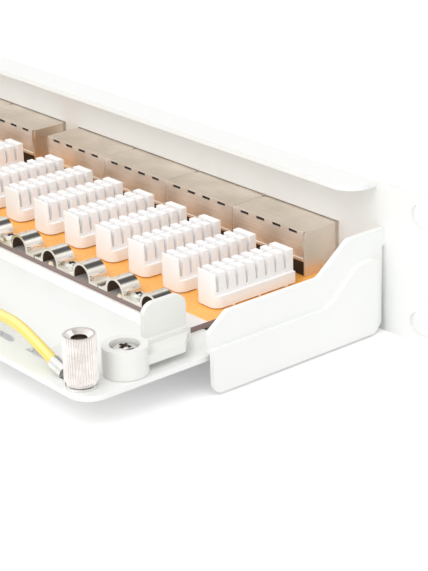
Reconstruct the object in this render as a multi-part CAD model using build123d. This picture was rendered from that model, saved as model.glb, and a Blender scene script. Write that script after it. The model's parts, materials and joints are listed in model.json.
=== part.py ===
from build123d import *
import math
import os

# A 24-port shielded patch panel, one rack unit high, for a 19-inch rack.
# Millimetres. X runs along the panel, Y points back from its rear face, Z is up.
# The origin is the middle of the four rack slots, on the panel's rear face.

# Rack interface and folded sheet
PANEL_W = 482.6
PANEL_H = 44.0
SLOT_FROM_END = 8.75
SLOT_FROM_EDGE = 6.125
SLOT_W = 6.8
SLOT_L = 10.4
SHEET = 1.5
BEND_R = 0.8
PANEL_CORNER_R = 2.0
EAR_W = 27.3
FLANGE_DEPTH = 10.2
FLANGE_CORNER_R = 7.0

# Rows of ports
GROUPS = 3
PORTS_PER_CAN = 2
PORT_PITCH = 15.9
LEAST_GROUP_GAP = 5.0
ROW_END_FROM_TRAY_EDGE = 17.2

# Circuit boards
BOARD_T = 1.6
BOARD_TOP_Z = -7.8
BOARD_FRONT_Y = 1.0
BOARD_END_MARGIN = 5.3
BOARD_SPLIT_GAP = 0.5

# Jack shields and inserts
CAN_H = 13.6
CAN_REAR_Y = 12.9
CAN_NOSE = 1.0
CAN_T = 0.4
CAN_LIP_T = 0.3
CAN_LIP_H = 3.0
CAN_GAP = 0.2
CAN_REAR_WALL_H = 9.1
WINDOW_CLEARANCE = 0.3
DASH_PITCH = 7.05
DASH_L = 3.6
DASH_H = 0.8
DASHES_PER_CAN = 4
INSERT_CLEARANCE = 0.05
SOCKET_W = 11.9
SOCKET_H = 7.0
SOCKET_DEPTH = 12.6
SOCKET_FLOOR = 3.9
KEYWAY_W = 6.2
KEYWAY_H = 1.6
KEY_STEP_W = 3.4
KEY_STEP_H = 1.0

# Punch-down blocks
CAN_TO_BLOCK = 5.1
BLOCK_SHIFT_X = -4.65
PLINTH_W = 9.4
PLINTH_H = 4.5
BLOCK_H = 11.0
POST_ROW_W = 7.6
WIRE_SLOTS = 8
WIRE_SLOT_PITCH = 3.53
WIRE_SLOT_W = 0.9
FIRST_SLOT_FROM_FRONT = 3.0
LAST_SLOT_FROM_REAR = 1.59

# Shield clamps on the rear edge of the boards
BLOCK_TO_CLAMP = 7.3
CLAMP_T = 0.8
CLAMP_L = 6.2
CLAMP_OVERHANG = 0.2
ARCH_R = 3.5
ARCH_LEG_H = 0.9
ARCH_SHIFT_X = 3.15
CLAMP_SLIT = 0.6
CLAMP_SCREW_BACK = 2.5
CLAMP_SCREW_D = 2.5
CLAMP_SCREW_HEAD_D = 4.8
CLAMP_SCREW_HEAD_H = 1.7
SCREW_HOLE_CLEARANCE = 0.2
THREAD_FIT = 0.05

# Rear tray
BOARD_LIFT = 1.5
TRAY_PAST_FLANGE = 1.7
CABLE_SHELF_L = 43.0
TRAY_CORNER_R = 6.5
FLANGE_TO_FRONT_LIP = 1.6
TRAY_SIDE_LIP_TOP = 8.4
TRAY_SIDE_LIP_FRONT_Y = 5.0
SIDE_LIP_SHORT_OF_BOARD = 4.6
BEND_RELIEF = 1.0
BEAD_W = 11.0
BEAD_TAPER = 60.0
BEAD_WALL_INSET = 1.0
BEAD_END_FROM_TRAY_EDGE = 4.7
BEAD_END_FROM_SPLIT = 5.0
TIE_SHIFT_X = 7.05
TIE_WINDOW_W = 9.0
TIE_WINDOW_L = 8.0
TIE_FROM_REAR = 11.0
TIE_STRAP_L = 4.6
TIE_RISE = 2.0
TIE_LEG_RUN = 1.6
TIE_ROOT = 0.3

# Side brackets
BRACKET_RELIEF = 1.5
BRACKET_FOOT_RISE = 0.8
BRACKET_PAST_BOARD = 3.4
BRACKET_TOP_Z = 9.1
BRACKET_LOW_Z = 0.7
BRACKET_REAR_SHOULDER_Z = -4.0
BRACKET_CHAMFER_L = 6.5
BRACKET_SLOPE_REAR_Y = 25.0
BRACKET_SLOPE_FRONT_Y = 13.7
BRACKET_TAB_BOTTOM_Z = 3.9
BRACKET_GAP = 0.9
RELIEF_FRONT_Y = 3.2
RELIEF_LOW_Z = -8.4
RELIEF_HIGH_Z = 1.4
RELIEF_SLOPE_REAR_Y = 22.5
RELIEF_SLOPE_FRONT_Y = 11.0
RELIEF_LAND = 1.3
BRACKET_CORNER_R = 2.8
BRACKET_SHOULDER_R = 1.0
BRACKET_CHAMFER_R = 2.0
BRACKET_SLOPE_R = 3.0
BRACKET_TOP_R = 0.6
BRACKET_TAB_R = 0.4
RELIEF_EDGE_R = 0.4
RELIEF_SLOPE_REAR_R = 7.0
RELIEF_SLOPE_FRONT_R = 5.0
RELIEF_TOP_R = 2.4

# Swivel latches
LATCH_FROM_SIDE = 6.7
LATCH_FROM_REAR = 18.1
LATCH_BOSS_D = 12.3
LATCH_BOSS_H = 8.0
LATCH_RECESS_D = 8.2
LATCH_FLOOR_T = 4.5
LATCH_ARM_GAP = 2.0
LATCH_ARM_T = 2.8
LATCH_ARM_HALF_W = 4.2
LATCH_ARM_REACH = 22.6
LATCH_TIP_CHAMFER = 6.0
LATCH_TAB_OFFSET = 2.6
LATCH_TAB_T = 1.6
LATCH_TAB_H = 10.6
LATCH_TAB_START = 8.5
LATCH_TAB_CORNER_R = 3.5
LATCH_STEP_H = 1.2
LATCH_STEP_W = 1.6
LATCH_SCREW_D = 3.0
LATCH_SCREW_HEAD_D = 6.6
LATCH_SCREW_HEAD_H = 2.1
LATCH_RUNNING_FIT = 0.06
LATCH_SEAT_GAP = 0.1

# Earth point
EARTH_FROM_SIDE = 7.7
EARTH_FROM_REAR = 4.8
STUD_D = 5.0
STUD_H = 10.5
STUD_HEAD_D = 7.5
STUD_HEAD_T = 1.0
NUT_D = 9.1
NUT_ROOT_D = 8.7
NUT_H = 13.7
NUT_RIDGES = 36
NUT_NECK_H = 1.2
NUT_NECK_D = 7.6
NUT_RECESS_D = 6.4
NUT_RECESS_H = 2.6
NUT_RUNNING_FIT = 0.06
NUT_SEAT_GAP = 0.1
LUG_T = 0.8
LUG_RING_D = 8.6
LUG_NECK_W = 3.6
BARREL_D = 4.0
BARREL_L = 4.6
BARREL_START = 6.4
BARREL_TILT = 20.0
LUG_TURN = 5.0

# Earth lead, 0.65 m long: the route of its free stretch, from the earth point, then a folded hank
WIRE_D = 3.0
WIRE_LIFT = 0.2
WIRE_LEAD_OUT = 8.0
WIRE_BEND_R = 9.0
WIRE_ROUTE = [(36.2, 0.8, 10.3)]
HANK_L = 56.0
HANK_W = 21.0
HANK_H = 9.6
HANK_FROM_EARTH = 124.2
HANK_BEHIND_CLAMPS = 14.7
HANK_CORNER_R = 6.0
HANK_LEAD_IN = 10.5
HANK_ENTRY_OFFSET = 4.0
FAR_LUG_BACK = 22.7

# Worked-out widths, from the rack's width inwards
FLANGE_W = PANEL_W - 2 * EAR_W
SLOT_SPACING_X = PANEL_W - 2 * SLOT_FROM_END
SLOT_SPACING_Z = PANEL_H - 2 * SLOT_FROM_EDGE
TRAY_HALF_W = FLANGE_W / 2 + TRAY_PAST_FLANGE
ROW_W = 2 * (TRAY_HALF_W - ROW_END_FROM_TRAY_EDGE)
CAN_PITCH = PORTS_PER_CAN * PORT_PITCH
CANS_PER_GROUP = int((ROW_W - (GROUPS - 1) * LEAST_GROUP_GAP) / (GROUPS * CAN_PITCH))
PORTS_PER_GROUP = CANS_PER_GROUP * PORTS_PER_CAN
GROUP_W = CANS_PER_GROUP * CAN_PITCH
GROUP_GAP = (ROW_W - GROUPS * GROUP_W) / (GROUPS - 1)
GROUP_PITCH = GROUP_W + GROUP_GAP
LATCH_X = TRAY_HALF_W - LATCH_FROM_SIDE
EARTH_X = EARTH_FROM_SIDE - TRAY_HALF_W
HANK_X = EARTH_X + HANK_FROM_EARTH

# Worked-out depths, from the jacks backwards
BLOCK_FRONT_Y = CAN_REAR_Y + CAN_TO_BLOCK
BLOCK_L = FIRST_SLOT_FROM_FRONT + (WIRE_SLOTS - 1) * WIRE_SLOT_PITCH + LAST_SLOT_FROM_REAR
CLAMP_REAR_Y = BLOCK_FRONT_Y + BLOCK_L + BLOCK_TO_CLAMP + CLAMP_L
CLAMP_SCREW_Y = CLAMP_REAR_Y - CLAMP_SCREW_BACK
BOARD_REAR_Y = CLAMP_REAR_Y - CLAMP_OVERHANG
BRACKET_REAR_Y = BOARD_REAR_Y + BRACKET_PAST_BOARD
BRACKET_CHAMFER_Y = BRACKET_REAR_Y - BRACKET_CHAMFER_L
TRAY_SIDE_LIP_REAR_Y = BOARD_REAR_Y - SIDE_LIP_SHORT_OF_BOARD
TRAY_REAR_Y = BOARD_REAR_Y + CABLE_SHELF_L
TIE_Y = TRAY_REAR_Y - TIE_FROM_REAR
LATCH_Y = TRAY_REAR_Y - LATCH_FROM_REAR
EARTH_Y = TRAY_REAR_Y - EARTH_FROM_REAR
HANK_Y = CLAMP_REAR_Y + HANK_BEHIND_CLAMPS
CAN_FRONT_Y = -SHEET - CAN_NOSE

# Worked-out heights
BOARD_UNDER_Z = BOARD_TOP_Z - BOARD_T
TRAY_TOP_Z = BOARD_UNDER_Z - BOARD_LIFT
TRAY_UNDER_Z = TRAY_TOP_Z - SHEET
TRAY_FRONT_LIP_H = TRAY_TOP_Z + PANEL_H / 2 - SHEET - FLANGE_TO_FRONT_LIP
BRACKET_BOTTOM_Z = BRACKET_FOOT_RISE - PANEL_H / 2
CAN_TOP_Z = BOARD_TOP_Z + CAN_H
ARM_UNDER_Z = TRAY_TOP_Z + LATCH_ARM_GAP
HANK_TOP_Z = TRAY_TOP_Z + WIRE_LIFT + HANK_H


def group_x(group):
    """Middle of a group of ports, counted from the left end."""
    return (group - (GROUPS - 1) / 2) * GROUP_PITCH


def port_x(group, port):
    """Middle of a port in its group."""
    return group_x(group) + (port - (PORTS_PER_GROUP - 1) / 2) * PORT_PITCH


def can_x(group, can):
    """Middle of a two-port jack in its group."""
    return group_x(group) + (can - (CANS_PER_GROUP - 1) / 2) * CAN_PITCH


def block(x0, x1, y0, y1, z0, z1):
    """A plain rectangular solid between two corners."""
    return Pos((x0 + x1) / 2, (y0 + y1) / 2, (z0 + z1) / 2) * Box(x1 - x0, y1 - y0, z1 - z0)


def rod(x, y, z0, z1, diameter):
    """An upright cylinder between two heights."""
    return Pos(x, y, (z0 + z1) / 2) * Cylinder(diameter / 2, z1 - z0)


def six_sided(x, y, z0, z1, diameter):
    """An upright six-sided pin, for the shanks and holes that the screw heads hide."""
    return extrude(Pos(x, y, z0) * RegularPolygon(diameter / 2, 6), z1 - z0)


def folded_section(outer_points, inner_points):
    """The section of a bent sheet, from the corners of its outer and inner lines."""
    bends = len(outer_points) - 2
    points = outer_points + inner_points[::-1]
    radii = [0] + [BEND_R + SHEET] * bends + [0, 0] + [BEND_R] * bends + [0]
    return make_face(FilletPolyline(*points, radius=radii, close=True))


def mirrored_x(shape):
    """The same shape at the other end of the panel."""
    return mirror(shape, about=Plane.YZ)


def front_panel():
    """Channel-folded face plate with flat rack ears, slots and three jack windows."""
    top = PANEL_H / 2
    outer = [(FLANGE_DEPTH, top), (-SHEET, top), (-SHEET, -top), (FLANGE_DEPTH, -top)]
    low = top - SHEET
    inner = [(FLANGE_DEPTH, low), (0, low), (0, -low), (FLANGE_DEPTH, -low)]
    channel = extrude(Plane.YZ * folded_section(outer, inner), FLANGE_W / 2, both=True)
    rear_corners = channel.edges().filter_by(Axis.Z).group_by(Axis.Y)[-1]
    panel = fillet(rear_corners, FLANGE_CORNER_R)
    ear = block(FLANGE_W / 2, PANEL_W / 2, -SHEET, 0, -top, top)
    ear = fillet(ear.edges().filter_by(Axis.Y).group_by(Axis.X)[-1], PANEL_CORNER_R)
    panel = panel + ear + mirrored_x(ear)
    window = Box(GROUP_W + 2 * WINDOW_CLEARANCE, 4 * SHEET, CAN_H + 2 * WINDOW_CLEARANCE)
    window_z = BOARD_TOP_Z + CAN_H / 2
    cuts = [Pos(group_x(group), 0, window_z) * window for group in range(GROUPS)]
    slot = extrude(Plane.XZ * SlotOverall(SLOT_L, SLOT_W), 2 * SHEET, both=True)
    for x in (-SLOT_SPACING_X / 2, SLOT_SPACING_X / 2):
        for z in (-SLOT_SPACING_Z / 2, SLOT_SPACING_Z / 2):
            cuts.append(Pos(x, 0, z) * slot)
    return panel - cuts


def bead_span(group):
    """Ends of the pressed bead under a board."""
    split = GROUP_PITCH / 2 - BEAD_END_FROM_SPLIT
    end = TRAY_HALF_W - BEAD_END_FROM_TRAY_EDGE
    x0 = -end if group == 0 else group_x(group) - split
    x1 = end if group == GROUPS - 1 else group_x(group) + split
    return x0, x1


def tapered_bead(x0, x1, width, z):
    """A low rise with sloping sides."""
    outline = Pos((x0 + x1) / 2, CLAMP_SCREW_Y, z) * Rectangle(x1 - x0, width)
    return extrude(outline, BOARD_LIFT, taper=BEAD_TAPER)


def tie_bridge():
    """A lanced strap that a cable tie passes under, and the window it was lanced from."""
    window = Pos(0, TIE_Y, TRAY_TOP_Z) * Box(TIE_WINDOW_W, TIE_WINDOW_L, 4 * SHEET)
    half = TIE_WINDOW_W / 2
    crown = half - TIE_LEG_RUN
    root = half + TIE_ROOT
    strap = Polyline(
        (-root, TRAY_TOP_Z), (-half, TRAY_TOP_Z), (-crown, TRAY_TOP_Z + TIE_RISE),
        (crown, TRAY_TOP_Z + TIE_RISE), (half, TRAY_TOP_Z), (root, TRAY_TOP_Z),
        (root, TRAY_UNDER_Z), (half, TRAY_UNDER_Z), (crown, TRAY_UNDER_Z + TIE_RISE),
        (-crown, TRAY_UNDER_Z + TIE_RISE), (-half, TRAY_UNDER_Z), (-root, TRAY_UNDER_Z),
        close=True)
    strap = extrude(Plane.XZ * make_face(strap), TIE_STRAP_L / 2, both=True)
    return window, Pos(0, TIE_Y, 0) * strap


def rear_tray():
    """Cable tray: lip at the front, turned-up sides, beads under the boards, tie bridges."""
    outer = [(TRAY_REAR_Y, TRAY_TOP_Z), (0, TRAY_TOP_Z), (0, TRAY_TOP_Z - TRAY_FRONT_LIP_H)]
    inner = [(TRAY_REAR_Y, TRAY_UNDER_Z), (SHEET, TRAY_UNDER_Z),
             (SHEET, TRAY_TOP_Z - TRAY_FRONT_LIP_H)]
    tray = extrude(Plane.YZ * folded_section(outer, inner), TRAY_HALF_W, both=True)
    tray = fillet(tray.edges().filter_by(Axis.Z).group_by(Axis.Y)[-1], TRAY_CORNER_R)
    for group in range(GROUPS):
        x0, x1 = bead_span(group)
        tray += tapered_bead(x0, x1, BEAD_W, TRAY_TOP_Z)
        inset = BEAD_WALL_INSET
        tray -= tapered_bead(x0 + inset, x1 - inset, BEAD_W - 2 * inset, TRAY_UNDER_Z)
    bend = BEND_R + SHEET
    notch = block(-TRAY_HALF_W - SHEET, bend - TRAY_HALF_W, -SHEET,
                  TRAY_SIDE_LIP_REAR_Y + BEND_RELIEF, TRAY_TOP_Z - 2 * TRAY_FRONT_LIP_H, 0)
    edge = -TRAY_HALF_W
    lip_top = TRAY_TOP_Z + TRAY_SIDE_LIP_TOP
    root = edge + bend + SHEET
    lip = folded_section(
        [(root, TRAY_UNDER_Z), (edge, TRAY_UNDER_Z), (edge, lip_top)],
        [(root, TRAY_TOP_Z), (edge + SHEET, TRAY_TOP_Z), (edge + SHEET, lip_top)])
    lip_l = TRAY_SIDE_LIP_REAR_Y - TRAY_SIDE_LIP_FRONT_Y
    lip = extrude(Plane.XZ * lip, -lip_l)
    lip = Pos(0, TRAY_SIDE_LIP_FRONT_Y, 0) * lip
    window, strap = tie_bridge()
    tie_places = [Pos(port_x(group, port) + TIE_SHIFT_X, 0, 0)
                  for group in range(GROUPS) for port in range(PORTS_PER_GROUP)]
    holes = [(-LATCH_X, LATCH_Y, LATCH_SCREW_D), (LATCH_X, LATCH_Y, LATCH_SCREW_D),
             (EARTH_X, EARTH_Y, STUD_D)]
    hole_foot = TRAY_UNDER_Z - SHEET
    cuts = [notch, mirrored_x(notch)] + [place * window for place in tie_places]
    cuts += [rod(x, y, hole_foot, TRAY_TOP_Z + SHEET, shank + 2 * THREAD_FIT)
             for x, y, shank in holes]
    cuts += [six_sided(x, CLAMP_SCREW_Y, hole_foot, BOARD_UNDER_Z + SHEET,
                       CLAMP_SCREW_D + 2 * THREAD_FIT) for x in clamp_screw_places()]
    straps = [place * strap for place in tie_places]
    return tray - cuts + [lip, mirrored_x(lip)] + straps


def relief_outline(inset, overrun):
    """Outline of the pressed-out part of a side bracket, in Y and Z."""
    front = RELIEF_FRONT_Y + inset
    rear = BRACKET_REAR_Y + overrun
    low = RELIEF_LOW_Z - inset
    high = RELIEF_HIGH_Z - inset
    bottom = BRACKET_BOTTOM_Z - overrun
    corner = RELIEF_EDGE_R if overrun else BRACKET_CORNER_R
    points = [(front, bottom), (rear, bottom), (rear, low), (RELIEF_SLOPE_REAR_Y, low),
              (RELIEF_SLOPE_FRONT_Y, high), (front, high)]
    radii = [corner, corner, RELIEF_EDGE_R, RELIEF_SLOPE_REAR_R, RELIEF_SLOPE_FRONT_R,
             RELIEF_TOP_R]
    return make_face(FilletPolyline(*points, radius=radii, close=True))


def side_bracket():
    """Left side plate: one sheet pressed outwards over its lower part."""
    points = [
        (BRACKET_GAP, BRACKET_BOTTOM_Z), (BRACKET_REAR_Y, BRACKET_BOTTOM_Z),
        (BRACKET_REAR_Y, BRACKET_REAR_SHOULDER_Z), (BRACKET_CHAMFER_Y, BRACKET_LOW_Z),
        (BRACKET_SLOPE_REAR_Y, BRACKET_LOW_Z), (BRACKET_SLOPE_FRONT_Y, BRACKET_TOP_Z),
        (0, BRACKET_TOP_Z), (0, BRACKET_TAB_BOTTOM_Z), (BRACKET_GAP, BRACKET_TAB_BOTTOM_Z)]
    radii = [BRACKET_CORNER_R, BRACKET_CORNER_R, BRACKET_SHOULDER_R, BRACKET_CHAMFER_R,
             BRACKET_SLOPE_R, BRACKET_SLOPE_R, BRACKET_TOP_R, BRACKET_TAB_R, BRACKET_TAB_R]
    outline = FilletPolyline(*points, radius=radii, close=True)
    inner = extrude(Plane.YZ * make_face(outline), SHEET)
    pocket = extrude(Plane.YZ * relief_outline(RELIEF_LAND, 2 * SHEET), SHEET)
    raised = extrude(Plane.YZ * relief_outline(0, 0), BRACKET_RELIEF)
    plate = inner - pocket + Pos(-BRACKET_RELIEF, 0, 0) * raised
    return Pos(-TRAY_HALF_W - SHEET, 0, 0) * plate


def circuit_board(group):
    """One eight-port board, with holes for the clamp screws."""
    split = GROUP_PITCH / 2 - BOARD_SPLIT_GAP / 2
    end = ROW_W / 2 + BOARD_END_MARGIN
    x0 = -end if group == 0 else group_x(group) - split
    x1 = end if group == GROUPS - 1 else group_x(group) + split
    board = block(x0, x1, BOARD_FRONT_Y, BOARD_REAR_Y, BOARD_UNDER_Z, BOARD_TOP_Z)
    hole = six_sided(0, CLAMP_SCREW_Y, BOARD_UNDER_Z - BOARD_T, BOARD_TOP_Z + BOARD_T,
                     CLAMP_SCREW_D + 2 * SCREW_HOLE_CLEARANCE)
    return board - [Pos(clamp_x(group, can), 0, 0) * hole for can in range(CANS_PER_GROUP)]


def can_half_w():
    """Half the width of a shield without its lips."""
    return (CAN_PITCH - CAN_GAP) / 2 - CAN_LIP_T


def jack_shield():
    """Nickel shell over a two-port jack, folded from thin sheet, open below and at the mouths."""
    half = can_half_w()
    shell = block(-half, half, CAN_FRONT_Y, CAN_REAR_Y, BOARD_TOP_Z, CAN_TOP_Z)
    shell += block(-half - CAN_LIP_T, half + CAN_LIP_T, SHEET, CAN_REAR_Y - CAN_T,
                   CAN_TOP_Z - CAN_LIP_H, CAN_TOP_Z)
    shell -= block(CAN_T - half, half - CAN_T, CAN_FRONT_Y + CAN_T, CAN_REAR_Y - CAN_T,
                   BOARD_TOP_Z - CAN_T, CAN_TOP_Z - CAN_T)
    shell -= block(CAN_T - half, half - CAN_T, CAN_REAR_Y - 2 * CAN_T, CAN_REAR_Y + CAN_T,
                   BOARD_TOP_Z - CAN_T, CAN_TOP_Z - CAN_REAR_WALL_H)
    dash = Pos(0, CAN_REAR_Y, CAN_TOP_Z - DASH_H) * Box(DASH_L, 3 * CAN_T, DASH_H)
    dash_places = [(dash_i - (DASHES_PER_CAN - 1) / 2) * DASH_PITCH
                   for dash_i in range(DASHES_PER_CAN)]
    mouth_top = BOARD_TOP_Z + SOCKET_FLOOR + SOCKET_H
    mouth = block(-SOCKET_W / 2, SOCKET_W / 2, CAN_FRONT_Y - CAN_T, CAN_FRONT_Y + 2 * CAN_T,
                  mouth_top - SOCKET_H - KEYWAY_H - KEY_STEP_H, mouth_top)
    return shell - [Pos(x, 0, 0) * dash for x in dash_places] - in_both_ports(mouth)


def socket_profile(depth):
    """The mouth of a port with its stepped keyway below, cut back from Y = 0."""
    floor = BOARD_TOP_Z + SOCKET_FLOOR
    mouth = Pos(0, floor + SOCKET_H / 2) * Rectangle(SOCKET_W, SOCKET_H)
    keyway = Pos(0, floor - KEYWAY_H / 2) * Rectangle(KEYWAY_W, KEYWAY_H)
    step = Pos(0, floor - KEYWAY_H - KEY_STEP_H / 2) * Rectangle(KEY_STEP_W, KEY_STEP_H)
    return extrude(Plane.XZ * (mouth + keyway + step), depth, both=True)


def in_both_ports(shape):
    """Copies of a shape at the two ports of a jack."""
    return [Pos(side * PORT_PITCH / 2, 0, 0) * shape for side in (-1, 1)]


def jack_insert():
    """Black moulding inside a shield, with two sockets open to the front."""
    half = can_half_w() - CAN_T - INSERT_CLEARANCE
    front = CAN_FRONT_Y + CAN_T + INSERT_CLEARANCE
    rear = CAN_REAR_Y - CAN_T - INSERT_CLEARANCE
    body = block(-half, half, front, rear, BOARD_TOP_Z, CAN_TOP_Z - CAN_T - INSERT_CLEARANCE)
    return body - in_both_ports(Pos(0, front, 0) * socket_profile(SOCKET_DEPTH))


def punch_block():
    """White wiring block: a plinth and a row of nine posts."""
    plinth = block(-PLINTH_W / 2, PLINTH_W / 2, 0, BLOCK_L, 0, PLINTH_H)
    posts = block(-POST_ROW_W / 2, POST_ROW_W / 2, 0, BLOCK_L, 0, BLOCK_H)
    slot = Pos(0, FIRST_SLOT_FROM_FRONT, PLINTH_H + BLOCK_H) * Box(
        2 * PLINTH_W, WIRE_SLOT_W, 2 * BLOCK_H)
    slots = [Pos(0, number * WIRE_SLOT_PITCH, 0) * slot for number in range(WIRE_SLOTS)]
    return Pos(BLOCK_SHIFT_X, BLOCK_FRONT_Y, BOARD_TOP_Z) * (plinth + posts - slots)


def clamp_x(group, can):
    """Middle of a double clamp, where its screw is."""
    return can_x(group, can) + ARCH_SHIFT_X


def clamp_screw_places():
    """X of every clamp screw."""
    return [clamp_x(group, can) for group in range(GROUPS) for can in range(CANS_PER_GROUP)]


def arch_section(radius):
    """Half-round arch on short legs, in both ports, down to below the strip."""
    arch = Pos(0, ARCH_LEG_H) * Circle(radius) + Rectangle(2 * radius, 2 * ARCH_LEG_H)
    return [Pos(side * PORT_PITCH / 2, 0) * arch for side in (-1, 1)]


def double_clamp():
    """Spring strip with two arches, which presses two cable shields to the board."""
    width = CAN_PITCH - CLAMP_SLIT
    strip = Pos(0, CLAMP_T / 2) * Rectangle(width, CLAMP_T)
    below = Pos(0, -ARCH_R) * Rectangle(width, 2 * ARCH_R)
    section = strip + arch_section(ARCH_R + CLAMP_T) - arch_section(ARCH_R) - below
    clamp = extrude(Plane.XZ * section, -CLAMP_L)
    hole = six_sided(0, CLAMP_L - CLAMP_SCREW_BACK, -CLAMP_T, 2 * CLAMP_T,
                     CLAMP_SCREW_D + 2 * SCREW_HOLE_CLEARANCE)
    return Pos(0, CLAMP_REAR_Y - CLAMP_L, BOARD_TOP_Z) * (clamp - hole)



def clamp_screws():
    """The screws that hold the clamps and the boards to the tray."""
    seat = BOARD_TOP_Z + CLAMP_T
    head = rod(0, 0, seat, seat + CLAMP_SCREW_HEAD_H, CLAMP_SCREW_HEAD_D)
    screw = head + six_sided(0, 0, TRAY_UNDER_Z - SHEET, seat, CLAMP_SCREW_D)
    return Compound(children=[Pos(x, CLAMP_SCREW_Y, 0) * screw for x in clamp_screw_places()])


def latch_screws():
    """The two screws that the latches turn on."""
    seat = TRAY_TOP_Z + LATCH_FLOOR_T + 2 * LATCH_SEAT_GAP
    head = rod(0, 0, seat, seat + LATCH_SCREW_HEAD_H, LATCH_SCREW_HEAD_D)
    screw = head + rod(0, 0, TRAY_UNDER_Z - SHEET, seat, LATCH_SCREW_D)
    return Compound(children=[Pos(side * LATCH_X, LATCH_Y, 0) * screw for side in (-1, 1)])


def swivel_latch():
    """Left latch: a bossed lever with a thumb tab, lying along the side bracket."""
    seat = TRAY_TOP_Z + LATCH_SEAT_GAP
    boss_top = TRAY_TOP_Z + LATCH_BOSS_H
    boss = rod(0, 0, seat, boss_top, LATCH_BOSS_D)
    arm_top = ARM_UNDER_Z + LATCH_ARM_T
    arm = block(-LATCH_ARM_HALF_W, LATCH_ARM_HALF_W, -LATCH_ARM_REACH, 0, ARM_UNDER_Z, arm_top)
    outer_tip = arm.edges().filter_by(Axis.Z).group_by(Axis.Y)[0].sort_by(Axis.X)[0]
    arm = chamfer(outer_tip, LATCH_TIP_CHAMFER)
    tab_x0 = LATCH_TAB_OFFSET
    tab = block(tab_x0, tab_x0 + LATCH_TAB_T, -LATCH_ARM_REACH, -LATCH_TAB_START, ARM_UNDER_Z,
                arm_top + LATCH_TAB_H)
    tab = fillet(tab.edges().filter_by(Axis.X).group_by(Axis.Z)[-1], LATCH_TAB_CORNER_R)
    step = block(tab_x0 - LATCH_STEP_W, tab_x0, -LATCH_ARM_REACH, -LATCH_BOSS_D / 4,
                 ARM_UNDER_Z, arm_top + LATCH_STEP_H)
    latch = boss + arm + tab + step
    latch -= rod(0, 0, TRAY_TOP_Z + LATCH_FLOOR_T, boss_top + LATCH_BOSS_H, LATCH_RECESS_D)
    latch -= rod(0, 0, TRAY_TOP_Z - LATCH_BOSS_H, boss_top,
                 LATCH_SCREW_D + 2 * LATCH_RUNNING_FIT)
    return Pos(-LATCH_X, LATCH_Y, 0) * latch


def ground_stud():
    """Pressed-in threaded stud of the earth point, its head below the tray."""
    stud = rod(0, 0, TRAY_UNDER_Z, TRAY_TOP_Z + STUD_H, STUD_D)
    head = rod(0, 0, TRAY_UNDER_Z - STUD_HEAD_T, TRAY_UNDER_Z, STUD_HEAD_D)
    return Pos(EARTH_X, EARTH_Y, 0) * (stud + head)


def earth_nut():
    """Knurled thumb nut: straight knurl over a turned neck, with a recess round the stud's end."""
    foot = TRAY_TOP_Z + LUG_T + NUT_SEAT_GAP
    top = foot + NUT_H
    points = []
    for ridge in range(NUT_RIDGES):
        for radius, turn in ((NUT_ROOT_D / 2, 0), (NUT_D / 2, 0.5)):
            angle = math.radians(360 * (ridge + turn) / NUT_RIDGES)
            points.append((radius * math.cos(angle), radius * math.sin(angle)))
    knurl = make_face(Polyline(*points, close=True))
    nut = extrude(Pos(0, 0, foot + NUT_NECK_H) * knurl, NUT_H - NUT_NECK_H)
    nut += rod(0, 0, foot, foot + NUT_NECK_H, NUT_NECK_D)
    nut -= rod(0, 0, foot - NUT_H, top + NUT_H, STUD_D + 2 * NUT_RUNNING_FIT)
    nut -= rod(0, 0, top - NUT_RECESS_H, top + NUT_H, NUT_RECESS_D)
    return Pos(EARTH_X, EARTH_Y, 0) * nut


def along_barrel(length):
    """A point on the axis of the near lug's barrel, in the lug's own frame."""
    tilt = math.radians(BARREL_TILT)
    return BARREL_START + length * math.cos(tilt), 0, BARREL_D / 2 + length * math.sin(tilt)


def barrel(start, end):
    """A crimped barrel between two points, closed where the wire meets it."""
    axis = Vector(*end) - Vector(*start)
    return extrude(Plane(origin=start, z_dir=axis) * Circle(BARREL_D / 2), axis.length)


def lug_tongue(reach):
    """Flat ring and neck of a crimp lug, lying at Z = 0."""
    tongue = Circle(LUG_RING_D / 2) + Pos(reach / 2, 0) * Rectangle(reach, LUG_NECK_W)
    tongue -= Circle(STUD_D / 2 + SCREW_HOLE_CLEARANCE)
    return extrude(tongue, LUG_T)


def earth_frame(x, y, z):
    """From the near lug's own frame to the part's frame."""
    place = Pos(EARTH_X, EARTH_Y, TRAY_TOP_Z) * Rot(0, 0, LUG_TURN)
    return (place * Pos(x, y, z)).position


def near_lug():
    """Ring terminal under the earth nut, its barrel bent up."""
    lug = lug_tongue(BARREL_START + LUG_T) + barrel(along_barrel(0), along_barrel(BARREL_L))
    lug -= block(-BARREL_START, 4 * BARREL_START, -BARREL_D, BARREL_D, -BARREL_D, 0)
    return Pos(EARTH_X, EARTH_Y, TRAY_TOP_Z) * Rot(0, 0, LUG_TURN) * lug


def far_lug():
    """Ring terminal at the other end of the lead, lying flat on the hank."""
    centre_x = HANK_X - FAR_LUG_BACK
    place = Pos(centre_x, HANK_Y, HANK_TOP_Z)
    axis_z = HANK_TOP_Z + BARREL_D / 2
    start = (centre_x + BARREL_START, HANK_Y, axis_z)
    end = (centre_x + BARREL_START + BARREL_L, HANK_Y, axis_z)
    return place * lug_tongue(BARREL_START + LUG_T) + barrel(start, end)


def wire_points():
    """The free stretch of the lead, from the near lug's barrel to the hank."""
    low = TRAY_TOP_Z + WIRE_D / 2 + WIRE_LIFT
    head = [earth_frame(*along_barrel(length)) for length in (BARREL_L, BARREL_L + WIRE_LEAD_OUT)]
    middle = [Vector(EARTH_X, EARTH_Y, TRAY_TOP_Z) + Vector(*point) for point in WIRE_ROUTE]
    end_x = HANK_X - HANK_L / 2
    entry_y = HANK_Y + HANK_ENTRY_OFFSET
    tail = [Vector(end_x - HANK_LEAD_IN, entry_y, low), Vector(end_x, entry_y, low)]
    return head + middle + tail



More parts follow.
